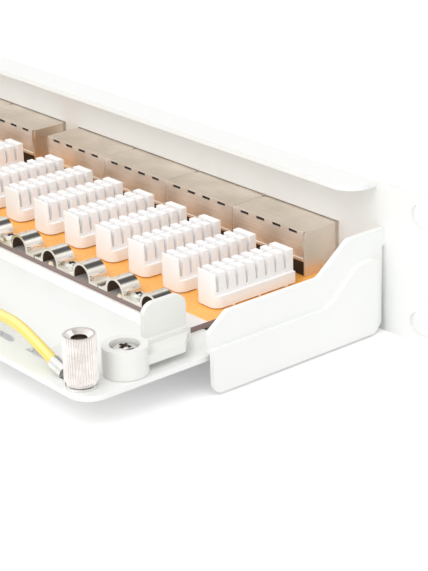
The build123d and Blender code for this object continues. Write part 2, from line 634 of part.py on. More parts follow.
def earth_wire():
    """Free stretch of the earth lead, as straight runs joined by arcs."""
    path = FilletPolyline(*wire_points(), radius=WIRE_BEND_R)
    section = Plane(origin=path @ 0, z_dir=path % 0) * Circle(WIRE_D / 2)
    return sweep(section, path=path)


def wire_hank():
    """Closed outer shape of the folded rest of the lead."""
    hank = block(HANK_X - HANK_L / 2, HANK_X + HANK_L / 2, HANK_Y - HANK_W / 2,
                 HANK_Y + HANK_W / 2, TRAY_TOP_Z + WIRE_LIFT, HANK_TOP_Z)
    return fillet(hank.edges().filter_by(Axis.Z), HANK_CORNER_R)


def all_parts():
    """Every sub-part by its name."""
    bracket = side_bracket()
    latch = swivel_latch()
    shield = jack_shield()
    insert = jack_insert()
    wiring_block = punch_block()
    clamp = double_clamp()
    parts = {
        "front_panel": front_panel(),
        "rear_tray": rear_tray(),
        "side_bracket_left": bracket,
        "side_bracket_right": mirrored_x(bracket),
        "clamp_screws": clamp_screws(),
        "latch_left": latch,
        "latch_right": mirrored_x(latch),
        "latch_screws": latch_screws(),
        "ground_stud": ground_stud(),
        "earth_nut": earth_nut(),
        "earth_lug": near_lug(),
        "earth_wire": earth_wire(),
        "earth_wire_hank": wire_hank(),
        "earth_lug_far": far_lug(),
    }
    for group in range(GROUPS):
        parts[f"circuit_board_{group + 1}"] = circuit_board(group)
        cans = range(CANS_PER_GROUP)
        clamps = [Pos(clamp_x(group, can), 0, 0) * clamp for can in cans]
        shields = [Pos(can_x(group, can), 0, 0) * shield for can in cans]
        parts[f"clamp_strip_{group + 1}"] = Compound(children=clamps)
        parts[f"jack_shields_{group + 1}"] = Compound(children=shields)
        for can in cans:
            number = group * CANS_PER_GROUP + can + 1
            parts[f"jack_insert_{number:02d}"] = Pos(can_x(group, can), 0, 0) * insert
        for port in range(PORTS_PER_GROUP):
            number = group * PORTS_PER_GROUP + port + 1
            parts[f"punch_block_{number:02d}"] = Pos(port_x(group, port), 0, 0) * wiring_block
    return parts


os.makedirs("parts", exist_ok=True)
for node, shape in all_parts().items():
    export_step(shape, f"parts/{node}.step")
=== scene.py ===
# %% [markdown]
# A shielded patch panel for a 19-inch rack, seen from behind and from above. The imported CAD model
# is the frame: it gives every piece its place, and this script adds the camera, the light, the
# finishes and the small parts that the solids leave out.

# %% Load the frame
import json
import math

import bmesh
import bpy
from mathutils import Matrix, Quaternion, Vector


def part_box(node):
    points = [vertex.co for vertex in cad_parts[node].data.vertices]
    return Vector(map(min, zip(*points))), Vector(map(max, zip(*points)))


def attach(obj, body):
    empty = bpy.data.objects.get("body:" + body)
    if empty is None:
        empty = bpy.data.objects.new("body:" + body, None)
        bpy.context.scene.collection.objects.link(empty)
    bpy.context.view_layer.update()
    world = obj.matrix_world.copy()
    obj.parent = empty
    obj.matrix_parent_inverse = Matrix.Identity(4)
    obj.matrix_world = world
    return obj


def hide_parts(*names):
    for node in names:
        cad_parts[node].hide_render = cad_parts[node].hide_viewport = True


MM = 0.001
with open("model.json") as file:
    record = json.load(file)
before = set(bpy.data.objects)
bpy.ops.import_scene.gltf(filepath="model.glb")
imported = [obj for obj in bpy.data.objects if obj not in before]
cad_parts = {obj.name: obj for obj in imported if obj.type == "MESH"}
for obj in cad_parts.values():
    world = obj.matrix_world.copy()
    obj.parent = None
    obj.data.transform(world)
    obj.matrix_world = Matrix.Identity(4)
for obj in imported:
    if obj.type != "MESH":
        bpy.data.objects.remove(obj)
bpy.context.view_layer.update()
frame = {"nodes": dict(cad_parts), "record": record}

# %% [markdown]
# The camera stands where the photographer's stood. Its place, its turn and its lens were found
# from the known sizes of a one-unit panel, so they are typed in as plain numbers.

# %% Camera
CAMERA_PLACE = Vector((-558.36, 339.44, 189.09)) * MM
CAMERA_YAW = math.radians(50.871)
CAMERA_PITCH = math.radians(22.255)
CAMERA_ROLL = math.radians(-1.68)
CAMERA_LENS_MM = 115.527


def new_object(name, data):
    """A new object in the scene."""
    thing = bpy.data.objects.new(name, data)
    bpy.context.scene.collection.objects.link(thing)
    return thing


def make_camera():
    """The photographer's camera, as bpy.context.scene.camera."""
    data = bpy.data.cameras.new("photo_camera")
    data.lens = CAMERA_LENS_MM
    data.clip_start = 10 * MM
    camera = new_object("photo_camera", data)
    level = math.cos(CAMERA_PITCH)
    ahead = Vector((math.sin(CAMERA_YAW) * level, -math.cos(CAMERA_YAW) * level,
                    -math.sin(CAMERA_PITCH)))
    camera.location = CAMERA_PLACE
    camera.rotation_mode = "QUATERNION"
    upright = ahead.to_track_quat("-Z", "Y")
    camera.rotation_quaternion = upright @ Quaternion((0, 0, 1), CAMERA_ROLL)
    bpy.context.scene.camera = camera
    print("camera stands at mm", [round(v / MM) for v in camera.location])


make_camera()

# %% [markdown]
# A finish is a node tree around one Principled shader. One function adds a node and fills or
# links its inputs, and another turns hex colours into linear light. The short ones stand for the
# four nodes that nearly every finish has: a noise of a given cell, a sum, a new range and a blend.

# %% Helpers for finishes


def hex_colour(code):
    """An sRGB hex colour as linear RGBA."""
    channels = [int(code[i:i + 2], 16) / 255 for i in (0, 2, 4)]
    linear = [c / 12.92 if c <= 0.04045 else ((c + 0.055) / 1.055) ** 2.4 for c in channels]
    return (*linear, 1.0)


def add(tree, kind, inputs=None, **settings):
    """A new node, with its settings made and its inputs filled or linked."""
    node = tree.nodes.new(kind)
    for name, value in settings.items():
        setattr(node, name, value)
    for name, value in (inputs or {}).items():
        if isinstance(value, bpy.types.NodeSocket):
            tree.links.new(value, node.inputs[name])
        else:
            node.inputs[name].default_value = value
    return node


def new_finish(name, inputs):
    """A material with its Principled shader set, and its tree, shader and object coordinates."""
    material = bpy.data.materials.new(name)
    material.use_nodes = True
    tree = material.node_tree
    shader = tree.nodes["Principled BSDF"]
    for key, value in inputs.items():
        shader.inputs[key].default_value = value
    place = add(tree, "ShaderNodeTexCoord").outputs["Object"]
    return material, tree, shader, place


def noise(tree, place, cell_mm, detail=2.0):
    """A soft noise from 0 to 1, with cells of about a width in millimetres."""
    return add(tree, "ShaderNodeTexNoise", {"Vector": place, "Scale": 1 / (cell_mm * MM),
                                            "Detail": detail}).outputs["Fac"]


def calc(tree, operation, first, second):
    """One step of arithmetic on two values."""
    return add(tree, "ShaderNodeMath", {0: first, 1: second}, operation=operation).outputs[0]


def remap(tree, value, low, high, start=0.0, stop=1.0):
    """A value that goes from low to high as another goes from start to stop."""
    return add(tree, "ShaderNodeMapRange", {"Value": value, "From Min": start, "From Max": stop,
                                            "To Min": low, "To Max": high}).outputs["Result"]


def blend_colours(tree, share, low, high):
    """A colour that goes from one linear colour to another as the share goes from 0 to 1."""
    return add(tree, "ShaderNodeMix", {"Factor": share, "A": low, "B": high},
               data_type="RGBA").outputs["Result"]


def bump_surface(tree, shader, height, strength, height_mm):
    """Raises and lowers the shading by a height in millimetres."""
    bump = add(tree, "ShaderNodeBump",
               {"Height": height, "Strength": strength, "Distance": height_mm * MM})
    tree.links.new(bump.outputs["Normal"], shader.inputs["Normal"])


# %% [markdown]
# Powder coat is baked polyester powder: satin, near white, with a faint orange-peel skin whose
# cells are a little over a millimetre wide. An image of the skin would do, but would show its
# seams, so a noise bump gives the skin, and a second, wide noise changes the gloss a little from
# place to place. To the eye the sheets stay flat white, and only their highlights waver.

# %% Powder-coated steel
PEEL_CELL_MM = 1.1
PEEL_HEIGHT_MM = 0.012
GLOSS_PATCH_MM = 30
SATIN_ROUGHNESS = (0.40, 0.52)


def powder_coat():
    """Near-white satin powder coat on sheet steel."""
    material, tree, shader, place = new_finish(
        "powder_coated_sheet_steel", {"Base Color": hex_colour("F1F2F0"), "IOR": 1.5})
    bump_surface(tree, shader, noise(tree, place, PEEL_CELL_MM), 0.5, PEEL_HEIGHT_MM)
    gloss = remap(tree, noise(tree, place, GLOSS_PATCH_MM), *SATIN_ROUGHNESS)
    tree.links.new(gloss, shader.inputs["Roughness"])
    return material


# %% [markdown]
# The boards are glass-fibre laminate under an orange lacquer. The cut edge shows the bare
# brownish laminate, and a strip along the rear edge is tinned, so that the clamps ground the
# cable shields. Three materials on picked faces would need cuts in the board. Here one material
# tells the three apart, by the way that a face looks and by its depth in the shared frame. The eye
# gets a warm glossy field, a dark line round it and a bright line behind it.

# %% Circuit board
TINNED_FROM_MM = 53.5
WEAVE_MM = 0.9
LACQUER_CLOUD_MM = 9
TIN_METAL_SHARE = 0.55
BOARD_ROUGHNESS = (0.26, 0.18)


def circuit_board():
    """Orange lacquered laminate with brown cut edges and a tinned rear strip."""
    material, tree, shader, place = new_finish("lacquered_glass_fibre_board", {"IOR": 1.5})
    weave = add(tree, "ShaderNodeTexVoronoi",
                {"Vector": place, "Scale": 1 / (WEAVE_MM * MM)}, distance="CHEBYCHEV")
    cloud = noise(tree, place, LACQUER_CLOUD_MM)
    orange = blend_colours(tree, cloud, hex_colour("FFB04A"), hex_colour("FFC872"))
    thread = blend_colours(tree, weave.outputs["Distance"], orange, hex_colour("FBAA46"))
    normal = add(tree, "ShaderNodeNewGeometry").outputs["Normal"]
    up = add(tree, "ShaderNodeSeparateXYZ", {"Vector": normal}).outputs["Z"]
    flat = calc(tree, "GREATER_THAN", up, 0.5)
    body = blend_colours(tree, flat, hex_colour("8A7470"), thread)
    depth = add(tree, "ShaderNodeSeparateXYZ", {"Vector": place}).outputs["Y"]
    rear = calc(tree, "GREATER_THAN", depth, TINNED_FROM_MM * MM)
    tinned = calc(tree, "MULTIPLY", rear, flat)
    colour = blend_colours(tree, tinned, body, hex_colour("F6F4F1"))
    tree.links.new(colour, shader.inputs["Base Color"])
    metal = calc(tree, "MULTIPLY", tinned, TIN_METAL_SHARE)
    tree.links.new(metal, shader.inputs["Metallic"])
    gloss = remap(tree, tinned, *BOARD_ROUGHNESS)
    tree.links.new(gloss, shader.inputs["Roughness"])
    return material


# %% [markdown]
# The wiring blocks and latches are moulded plastic: smooth, with the very fine grain of the mould's
# steel. Light goes a little way into the blocks and comes out warm, which a small subsurface radius
# gives. The inserts are black.

# %% Moulded plastics
MOULD_GRAIN_MM = 0.35
MOULD_GRAIN_HEIGHT_MM = 0.006


def moulded(name, code, roughness, subsurface=0.0):
    """Smooth moulded plastic with a very fine grain."""
    material, tree, shader, place = new_finish(
        name, {"Base Color": hex_colour(code), "Roughness": roughness, "IOR": 1.46,
               "Subsurface Weight": subsurface, "Subsurface Scale": 1.2 * MM,
               "Subsurface Radius": (1.0, 0.85, 0.75)})
    bump_surface(tree, shader, noise(tree, place, MOULD_GRAIN_MM), 0.3, MOULD_GRAIN_HEIGHT_MM)
    return material


# %% [markdown]
# The metals differ in how they were made. The shields are rolled sheet with dull nickel on it, so
# they have streaks along the panel and soft cloudy stains. The clamps are bright springs, and the
# screws, lugs and nut are plated. One function serves them all: a noise that is stretched fifty
# times along the panel draws the rolling streaks, and a round one the clouds.

# %% Plated metals
STREAK_STRETCH = 0.02
STREAK_CLOUD_RANGE = (0.12, 0.4)


def plated(name, low, high, rough_low, rough_high, streak_mm, cloud_mm):
    """Plated metal, streaked along the panel and slightly cloudy."""
    material, tree, shader, place = new_finish(name, {"Metallic": 1.0})
    stretch = add(tree, "ShaderNodeMapping",
                  {"Vector": place, "Scale": (STREAK_STRETCH, 1.0, 1.0)}).outputs["Vector"]
    streaks = noise(tree, stretch, streak_mm, 3.0)
    both = calc(tree, "MULTIPLY", streaks, noise(tree, place, cloud_mm))
    share = remap(tree, both, 0.0, 1.0, *STREAK_CLOUD_RANGE)
    colour = blend_colours(tree, share, hex_colour(low), hex_colour(high))
    tree.links.new(colour, shader.inputs["Base Color"])
    rough = remap(tree, streaks, rough_low, rough_high)
    tree.links.new(rough, shader.inputs["Roughness"])
    return material


# %% [markdown]
# The lead's sheath is soft plastic, yellow with a green trace along it, and with a paler strip along
# it that is a painted highlight. Both follow the cord, so they read the curve's own coordinates: V
# goes round the wire. Each strip is given by its middle and its half width, as shares of the way
# round.

# %% Lead sheath
SHEATH_YELLOW = hex_colour("F4DA70")
SHEATH_HIGHLIGHT = hex_colour("F8E594")
SHEATH_GREEN = hex_colour("9CC24E")
GREEN_STRIP = (0.62, 0.07)
HIGHLIGHT_STRIP = (0.10, 0.08)


def sheath(name, with_strips):
    """Yellow soft sheath, with a green strip and a painted highlight strip along a cord."""
    material, tree, shader, place = new_finish(
        name, {"Base Color": SHEATH_YELLOW, "Roughness": 0.32, "IOR": 1.5,
               "Subsurface Weight": 0.1, "Subsurface Scale": 1.0 * MM})
    if with_strips:
        around = add(tree, "ShaderNodeSeparateXYZ",
                     {"Vector": add(tree, "ShaderNodeTexCoord").outputs["UV"]}).outputs["Y"]
        colour = SHEATH_YELLOW
        # The pale strip is a painted highlight; the green one is the real trace.
        for (middle, half), strip_colour in ((HIGHLIGHT_STRIP, SHEATH_HIGHLIGHT), (GREEN_STRIP, SHEATH_GREEN)):
            strip = add(tree, "ShaderNodeMath", {0: around, 1: middle, 2: half}, operation="COMPARE")
            colour = blend_colours(tree, strip.outputs[0], colour, strip_colour)
        tree.links.new(colour, shader.inputs["Base Color"])
    return material


# %% [markdown]
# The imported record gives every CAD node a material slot, so one table from slot to finish dresses
# them all. The metals are listed with their darkest and lightest colour, their smoothest and
# roughest gloss, and the width of their streaks and clouds in millimetres.

# %% Give every CAD node its finish
SLOT_FINISH = {
    "powder_coated_steel": powder_coat(),
    "circuit_board": circuit_board(),
    # Warm, dull and streaked: the shields mirror only soft patches of light.
    "nickel_shield": plated("nickel_plated_rolled_sheet", "DFD3C5", "F6ECE1", 0.34, 0.48, 0.25, 14),
    "black_moulding": moulded("black_moulded_plastic", "1B1B1D", 0.45),
    "white_moulding": moulded("white_moulded_plastic", "FCFBFB", 0.32, 0.04),
    # Nearly a mirror: the arches show sharp dark and white bands.
    "spring_clamp": plated("bright_plated_spring_steel", "E2DBD0", "F7F3EC", 0.06, 0.11, 0.2, 8),
    "plated_screw": plated("zinc_plated_steel", "CFCDC8", "F0EEEA", 0.08, 0.15, 0.3, 4),
    # A cooler and greyer white than the blocks.
    "latch_moulding": moulded("white_moulded_latch_plastic", "EAEAE6", 0.30, 0.04),
    "earth_stud": plated("plated_stud_steel", "A9A9A4", "C9C9C4", 0.2, 0.3, 0.3, 4),
    # Turned, not rolled: the streaks are ten times as wide, so the ridges stay clean.
    "knurled_nut": plated("nickel_plated_knurled_brass", "E0DAD6", "F0EBE8", 0.18, 0.26, 2.0, 5),
    "tinned_lug": plated("tinned_copper", "DADAD6", "F4F4F1", 0.16, 0.26, 0.3, 3),
    "wire_sheath": sheath("yellow_sheath", False),
}


def dress_nodes():
    """Puts the record's finish on each CAD node."""
    for part in frame["record"]["subparts"]:
        node = frame["nodes"][part["node"]]
        node.data.materials.clear()
        node.data.materials.append(SLOT_FINISH[part["material_slot"]])


dress_nodes()
print("finishes", len(SLOT_FINISH))

# %% [markdown]
# The earth lead is a fixed length of limp wire. It leaves the ring terminal's barrel, hangs over
# the tray's edge straps, and comes down to the tray, where the rest of it is folded into a hank.
# The route's points are those of the CAD tube, in the frame's metres.

# %% Earth lead, free stretch
WIRE_D_MM = 3.0
TRAY_TOP_MM = -10.9
HANK_MIDDLE_MM = Vector((-83.8, 75.5, TRAY_TOP_MM))
LEAD_ROUTE_MM = [
    (-197.3, 99.7, -7.3),
    (-189.8, 100.2, -3.7),
    (-181.5, 100.0, -1.5),
    (-172.5, 99.2, -2.1),
    (-163.0, 97.4, -3.8),
    (-153.0, 93.6, -4.9),
    (-142.4, 88.4, -7.0),
    (-132.2, 85.4, -8.8),
    (-122.0, 84.5, -9.1),
    (-112.0, 84.5, -9.1),
]

# %% [markdown]
# The hank is a racetrack of stacked laps: two lanes wide and three layers high. Each entry of the
# two strings is a corner of the racetrack, and says which lane and which layer the wire is in
# there. The wire changes lane only in a bend, and climbs only on a straight, so no lap touches
# another.

# %% Earth lead, hank
LANES = "oooo" + "iiiiii" + "oooooo" + "iii"
LAYERS = "1111" + "111222" + "222333" + "333"
LANE_R_MM = {"o": 9.25, "i": 6.05}
LAYER_PITCH_MM = 3.1
FIRST_LAYER_MM = 1.9
HALF_STRAIGHT_MM = 17.5
BEND_POINTS = 6
STRAIGHT_SHARES = (0.1, 0.3, 0.5, 0.7, 0.9)


def lane_point(x, radius, angle, layer):
    """A point at an angle round one end of the racetrack."""
    height = FIRST_LAYER_MM + (layer - 1) * LAYER_PITCH_MM
    return HANK_MIDDLE_MM + Vector((x + radius * math.cos(angle), radius * math.sin(angle), height))


def hank_points():
    """The laps, corner by corner: a straight, then a half-round bend."""
    corners = [(LANE_R_MM[lane], int(layer)) for lane, layer in zip(LANES, LAYERS)]
    points = []
    for i, (here, there) in enumerate(zip(corners, corners[1:])):
        end_x = HALF_STRAIGHT_MM if i % 4 < 2 else -HALF_STRAIGHT_MM
        if i % 2:
            start_angle = math.pi / 2 if i % 4 == 1 else -math.pi / 2
            for step in range(BEND_POINTS):
                share = step / (BEND_POINTS - 1)
                radius = here[0] + (there[0] - here[0]) * share
                points.append(lane_point(end_x, radius, start_angle - math.pi * share, here[1]))
        else:
            side = math.pi / 2 if i % 4 == 0 else -math.pi / 2
            for share in STRAIGHT_SHARES:
                x = end_x * (2 * share - 1)
                climb = share * share * (3 - 2 * share)
                layer = here[1] + (there[1] - here[1]) * climb
                points.append(lane_point(x, here[0], side, layer))
    return points


# %% [markdown]
# The last run leaves the inner lane, crosses the open middle on top of the hank and goes into the
# far ring terminal.

# %% Earth lead, the whole spline
LAST_RUN_MM = [(-70.5, 69.5, -2.8), (-75.0, 69.8, -2.8), (-81.0, 71.5, -1.8), (-87.0, 74.6, 0.3),
               (-91.0, 75.5, 0.9), (-94.1, 75.5, 0.9)]


def lay_lead():
    """The lead as one NURBS curve with a round bevel."""
    points = [Vector(p) for p in LEAD_ROUTE_MM] + hank_points() + [Vector(p) for p in LAST_RUN_MM]
    curve = bpy.data.curves.new("earth_lead", "CURVE")
    curve.dimensions = "3D"
    curve.bevel_depth = WIRE_D_MM / 2 * MM
    curve.bevel_resolution = 5
    curve.resolution_u = 8
    curve.use_fill_caps = True
    spline = curve.splines.new("NURBS")
    spline.points.add(len(points) - 1)
    for slot, point in zip(spline.points, points):
        slot.co = (*(point * MM), 1.0)
    spline.order_u = 3
    spline.use_endpoint_u = True
    lead = new_object("earth_lead", curve)
    curve.materials.append(sheath("yellow_sheath_with_green_trace", True))
    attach(lead, "panel")
    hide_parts("earth_wire", "earth_wire_hank")
    print("lead points", len(points))


lay_lead()

# %% [markdown]
# The next cells model small pieces by hand, in the way that one does it with a mouse. A few helpers
# do what the hand does: one opens a new piece, one starts it as a box between two corners, two
# select faces or edges by where they are, and two cut or pull what is selected.

# %% Helpers for modelling


def open_piece(name):
    """The primitive just added, its place fixed in its mesh, in edit mode."""
    piece = bpy.context.object
    piece.name = name
    bpy.ops.object.transform_apply(location=True, rotation=True, scale=True)
    bpy.ops.object.mode_set(mode="EDIT")
    return piece


def start_box(name, low, high):
    """A box between two corners in millimetres, in edit mode."""
    low = Vector(low)
    high = Vector(high)
    bpy.ops.mesh.primitive_cube_add(size=MM, location=(low + high) / 2 * MM, scale=high - low)
    return open_piece(name)


def pick_faces(piece, wanted):
    """Selects the faces whose middle, in millimetres, and normal are wanted."""
    bpy.ops.mesh.select_mode(type="FACE")
    bpy.ops.mesh.select_all(action="DESELECT")
    mesh = bmesh.from_edit_mesh(piece.data)
    for face in mesh.faces:
        if wanted(face.calc_center_median() / MM, face.normal):
            face.select_set(True)
    bmesh.update_edit_mesh(piece.data)


def pick_edges(piece, wanted):
    """Selects the edges whose two ends, in millimetres, are wanted."""
    bpy.ops.mesh.select_mode(type="EDGE")
    bpy.ops.mesh.select_all(action="DESELECT")
    mesh = bmesh.from_edit_mesh(piece.data)
    for edge in mesh.edges:
        if wanted(edge.verts[0].co / MM, edge.verts[1].co / MM):
            edge.select_set(True)
    bmesh.update_edit_mesh(piece.data)


def cut_picked(axis, at_mm):
    """Cuts the selected faces with an upright plane across an axis."""
    place = Vector((0, 0, 0))
    across = Vector((0, 0, 0))
    place[axis] = at_mm * MM
    across[axis] = 1.0
    bpy.ops.mesh.bisect(plane_co=place, plane_no=across)


def push_picked(x, y, z):
    """Extrudes the selected faces as one region by a step in millimetres."""
    bpy.ops.mesh.extrude_region_move(
        TRANSFORM_OT_translate={"value": Vector((x, y, z)) * MM})


# %% [markdown]
# No real edge is sharp. Every sharp edge gets a small bevel, which catches the light as a thin
# line. What repeats is modelled once, and its copies each get their own mesh and ride on the panel.

# %% Helpers for finishing and copying


def shade_round(degrees):
    """Leaves edit mode and shades smooth across every edge that turns by less."""
    bpy.ops.object.mode_set(mode="OBJECT")
    bpy.ops.object.shade_smooth_by_angle(angle=math.radians(degrees))


def soften(piece, width_mm, segments):
    """Leaves edit mode and rounds every edge that turns by more than 30 degrees.

    The last modifier gives the large faces their say over the shading, so that a polished bow
    mirrors straight bands and a flat wall stays flat beside its rounded edge.
    """
    bpy.ops.object.mode_set(mode="OBJECT")
    bevel = piece.modifiers.new("soften", "BEVEL")
    bevel.width = width_mm * MM
    bevel.segments = segments
    bevel.limit_method = "ANGLE"
    bevel.angle_limit = math.radians(30)
    bpy.ops.object.modifier_apply(modifier="soften")
    shade_round(40)
    even = piece.modifiers.new("even", "WEIGHTED_NORMAL")
    even.keep_sharp = True
    bpy.ops.object.modifier_apply(modifier="even")


def copy_to(piece, name, step_mm):
    """A copy with its own mesh, moved by a step in millimetres."""
    twin = piece.copy()
    twin.data = piece.data.copy()
    twin.name = name
    twin.data.transform(Matrix.Translation(Vector(step_mm) * MM))
    bpy.context.scene.collection.objects.link(twin)
    return twin


def select_only(piece, others=()):
    """Makes one piece the active one, and selects it and the others alone."""
    bpy.ops.object.select_all(action="DESELECT")
    for other in (*others, piece):
        other.select_set(True)
    bpy.context.view_layer.objects.active = piece


def join_to(piece, others):
    """Joins other pieces into one."""
    select_only(piece, others)
    bpy.ops.object.join()


def place_copies(first, places):
    """Copies that ride on the panel, each with a name, a step and the node it stands for, if any."""
    for name, step_mm, node in places:
        twin = copy_to(first, name, step_mm)
        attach(twin, "panel")
        if node:
            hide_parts(node)
    print(first.name, "faces", len(first.data.polygons), "copies", len(places))
    bpy.data.objects.remove(first)


def middle_x(node):
    """The middle of a CAD node along the panel, in millimetres."""
    low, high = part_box(node)
    return (low[0] + high[0]) / 2 / MM


# %% [markdown]
# A punch-down block is one white moulding: a low plinth with a ledge, and nine posts with a slot
# between each two, where a wire is pushed in. Slots could be cut out of a solid with a Boolean, but
# growing is cleaner: the top of a box is cut where the slots and the groove will be, and only the
# posts are pulled up between them.

# %% Punch-down block: plinth and posts
BLOCK_L_MM = 29.3
BLOCK_H_MM = 10.4
PLINTH_HALF_MM = 4.7
POST_HALF_MM = 3.8
PLINTH_H_MM = 3.8
PLINTH_CORNER_MM = 2.6
FOOT_H_MM = 0.3
GROOVE_HALF_MM = 0.5
GROOVE_FLOOR_MM = 9.7
SLOT_HALF_MM = 0.4
SLOT_FLOOR_MM = 4.8
FUNNEL_FOOT_MM = 6.2
SLOTS_MM = [3.0 + 3.53 * number for number in range(8)]


def in_slot(y):
    """Whether a depth from the block's front lies in one of its slots."""
    return any(abs(y - middle) < SLOT_HALF_MM for middle in SLOTS_MM)


def raise_block():
    """The plinth with its rounded rear corners, and the posts on it."""
    block = start_box("punch_block_body", (-PLINTH_HALF_MM, 0, FOOT_H_MM),
                      (PLINTH_HALF_MM, BLOCK_L_MM, PLINTH_H_MM))
    pick_edges(block, lambda a, b: min(a.y, b.y) > BLOCK_L_MM - 0.3 and abs(a.z - b.z) > 1)
    bpy.ops.mesh.bevel(offset=PLINTH_CORNER_MM * MM, segments=4)
    for place in (-POST_HALF_MM, POST_HALF_MM):
        pick_faces(block, lambda c, n: n.z > 0.9)
        cut_picked(0, place)
    pick_faces(block, lambda c, n: n.z > 0.9 and abs(c.x) < POST_HALF_MM)
    push_picked(0, 0, SLOT_FLOOR_MM - PLINTH_H_MM)
    cuts = [(0, x) for x in (-GROOVE_HALF_MM, GROOVE_HALF_MM)]
    cuts += [(1, y + side) for y in SLOTS_MM for side in (-SLOT_HALF_MM, SLOT_HALF_MM)]
    for axis, place in cuts:
        pick_faces(block, lambda c, n: n.z > 0.9 and c.z > PLINTH_H_MM + 0.5)
        cut_picked(axis, place)
    pick_faces(block, lambda c, n: n.z > 0.9 and c.z > PLINTH_H_MM + 0.5 and not in_slot(c.y))
    push_picked(0, 0, FUNNEL_FOOT_MM - SLOT_FLOOR_MM)
    push_picked(0, 0, GROOVE_FLOOR_MM - FUNNEL_FOOT_MM)
    return block


# %% [markdown]
# The crest of each post has a groove for the tool, and the slots open upwards like funnels, so that
# a wire finds its way in. Underneath, the plinth stands on three small feet, and its left side has a
# shallow recess. Each is one more cut and one more pull of the same mesh.

# %% Punch-down block: crest, feet and recess
FUNNEL_MM = 0.35
CREST_FROM_MM = 9.0
FEET_MM = [(3.0, 3.8), (13.0, 13.8), (22.5, 23.3)]
RECESS_Y_MM = (0.7, 9.0)
RECESS_Z_MM = (1.0, 3.1)
RECESS_DEPTH_MM = 0.5
BLOCK_EDGE_MM = 0.2


def shape_crest(block):
    """The groove along the posts, and the funnels over the slots."""
    pick_faces(block, lambda c, n: n.z > 0.9 and c.z > CREST_FROM_MM and (
        abs(c.x) > GROOVE_HALF_MM or c.y < SLOTS_MM[0] or c.y > SLOTS_MM[-1]))
    push_picked(0, 0, BLOCK_H_MM - GROOVE_FLOOR_MM)
    for middle in SLOTS_MM:
        for side in (-1, 1):
            wall = middle + side * SLOT_HALF_MM
            pick_edges(block, lambda a, b: min(a.z, b.z) > CREST_FROM_MM
                       and max(abs(a.y - wall), abs(b.y - wall)) < 0.01)
            bpy.ops.transform.translate(value=(0, side * FUNNEL_MM * MM, 0))


def on_left_side(middle, normal):
    """Whether a face is on the plinth's left side."""
    return normal.x < -0.9 and 1 < middle.z < PLINTH_H_MM


def in_recess(middle):
    """Whether a face's depth is that of the recess."""
    return RECESS_Y_MM[0] < middle.y < RECESS_Y_MM[1]


def shape_plinth(block):
    """The feet under the plinth, and the recess in its left side."""
    for place in [y for foot in FEET_MM for y in foot]:
        pick_faces(block, lambda c, n: n.z < -0.9)
        cut_picked(1, place)
    pick_faces(block, lambda c, n: n.z < -0.9 and any(a < c.y < b for a, b in FEET_MM))
    push_picked(0, 0, -FOOT_H_MM)
    for place in RECESS_Y_MM:
        pick_faces(block, on_left_side)
        cut_picked(1, place)
    for place in RECESS_Z_MM:
        pick_faces(block, lambda c, n: on_left_side(c, n) and in_recess(c))
        cut_picked(2, place)
    pick_faces(block, lambda c, n: on_left_side(c, n) and in_recess(c) and c.z < RECESS_Z_MM[1])
    push_picked(RECESS_DEPTH_MM, 0, 0)


def model_block():
    """The first block, with its front middle foot at the origin."""
    block = raise_block()
    shape_crest(block)
    shape_plinth(block)
    soften(block, BLOCK_EDGE_MM, 2)
    block.data.materials.append(SLOT_FINISH["white_moulding"])
    return block


# %% [markdown]
# In each slot stands a contact blade: a thin tinned bronze fork that cuts through the wire's
# sheath. It starts as a thin box across the slot. Its top is cut twice, and the middle pushed down
# to a notch.

# %% Contact blades
BLADE_T_MM = 0.3
BLADE_HALF_MM = 1.9
BLADE_TOP_MM = 9.1
BLADE_CUTS_MM = (-0.9, 0.0, 0.9)
NOTCH_DEPTH_MM = 2.8


def model_blades():
    """The eight blades of one block, as one piece."""
    y = SLOTS_MM[0]
    blade = start_box("contact_blades", (-BLADE_HALF_MM, y - BLADE_T_MM / 2, SLOT_FLOOR_MM - 0.2),
                      (BLADE_HALF_MM, y + BLADE_T_MM / 2, BLADE_TOP_MM))
    for place in BLADE_CUTS_MM:
        pick_faces(blade, lambda c, n: abs(n.x) < 0.5)
        cut_picked(0, place)
    pick_edges(blade, lambda a, b: abs(a.x) < 0.1 and abs(b.x) < 0.1 and min(a.z, b.z) > 8)
    bpy.ops.transform.translate(value=(0, 0, -NOTCH_DEPTH_MM * MM))
    bpy.ops.object.mode_set(mode="OBJECT")
    join_to(blade, [copy_to(blade, "blade", (0, there - y, 0)) for there in SLOTS_MM[1:]])
    blade.data.materials.append(SLOT_FINISH["tinned_lug"])
    return blade


def place_blocks():
    """Every block and its blades, each where the CAD has it."""
    bodies = []
    blades = []
    for number in range(1, 25):
        node = f"punch_block_{number:02d}"
        low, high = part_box(node)
        step_mm = (middle_x(node), low[1] / MM, low[2] / MM)
        bodies.append((f"{node}_body", step_mm, node))
        blades.append((f"{node}_blades", step_mm, None))
    place_copies(model_block(), bodies)
    place_copies(model_blades(), blades)


place_blocks()

# %% [markdown]
# In a pressed cross, in the nut's bore and inside the arches of the clamps, the shade is painted in.
# A second material on picked faces is rough, half metal and dark olive-brown: its dark colour is
# painted shade, and it makes the recesses read as deep.

# %% Painted shade in recesses


def paint_recess_shade():
    """Rough half-metal finish in dark olive-brown: painted shade for recesses."""
    material, tree, shader, place = new_finish(
        "painted_recess_shade", {"Metallic": 0.6, "Roughness": 0.55})
    cloud = noise(tree, place, 1.5)
    # The dark brown blend is painted shade, not a colour of the plating.
    colour = blend_colours(tree, cloud, hex_colour("3A2E26"), hex_colour("6B5A48"))
    tree.links.new(colour, shader.inputs["Base Color"])
    return material


RECESS_SHADE_PAINT = paint_recess_shade()
print("finish", RECESS_SHADE_PAINT.name)

# %% [markdown]
# The clamps and the latches are held by pan-head screws. The head is turned: a low cylinder whose
# top is drawn in and raised in three steps, to a crown. The shank under it is a plain rod.

# %% Pan-head screw: head and shank
CROWN_STEPS = ((0.04, 0.28), (0.10, 0.17), (0.16, 0.10))
HEAD_SIDE_SHARE = 0.45


